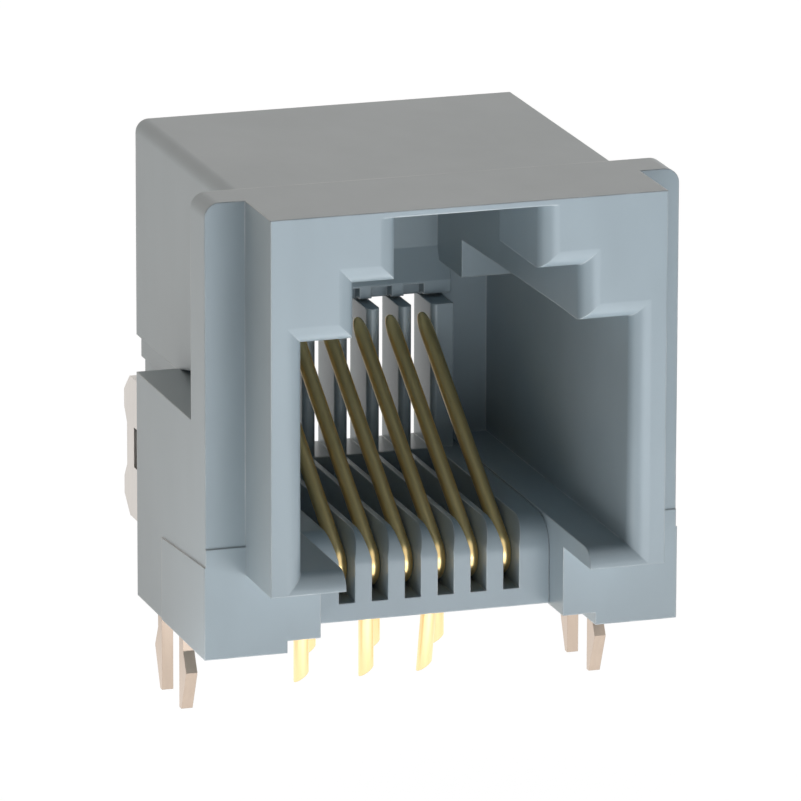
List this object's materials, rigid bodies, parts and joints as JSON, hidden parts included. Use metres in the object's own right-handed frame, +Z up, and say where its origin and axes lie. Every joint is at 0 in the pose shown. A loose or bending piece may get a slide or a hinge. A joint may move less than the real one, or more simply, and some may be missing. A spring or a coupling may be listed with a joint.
{
  "type": "modular jack",
  "caption": "Right-angle modular jack for a circuit board, with sprung wire contacts, a panel flange and snap-in metal board locks.",
  "frame": {"origin": "on the circuit board's top face, midway between the two board locks", "axes": "+Z up away from the board, the plug opening faces -Y, +X to the right for someone who looks into the opening"},
  "size_m": [0.0146, 0.0139, 0.0167],
  "materials": {
    "housing_plastic": "satin",
    "insert_plastic": "satin",
    "contact_gold": "polished",
    "lock_metal": "satin"
  },
  "bodies": {
    "root": {"housing": "housing_plastic", "contact_insert": "insert_plastic", "contact_1": "contact_gold", "contact_2": "contact_gold", "contact_3": "contact_gold", "contact_4": "contact_gold", "contact_5": "contact_gold", "contact_6": "contact_gold", "board_lock_left": "lock_metal", "board_lock_right": "lock_metal"}
  },
  "joints": []
}
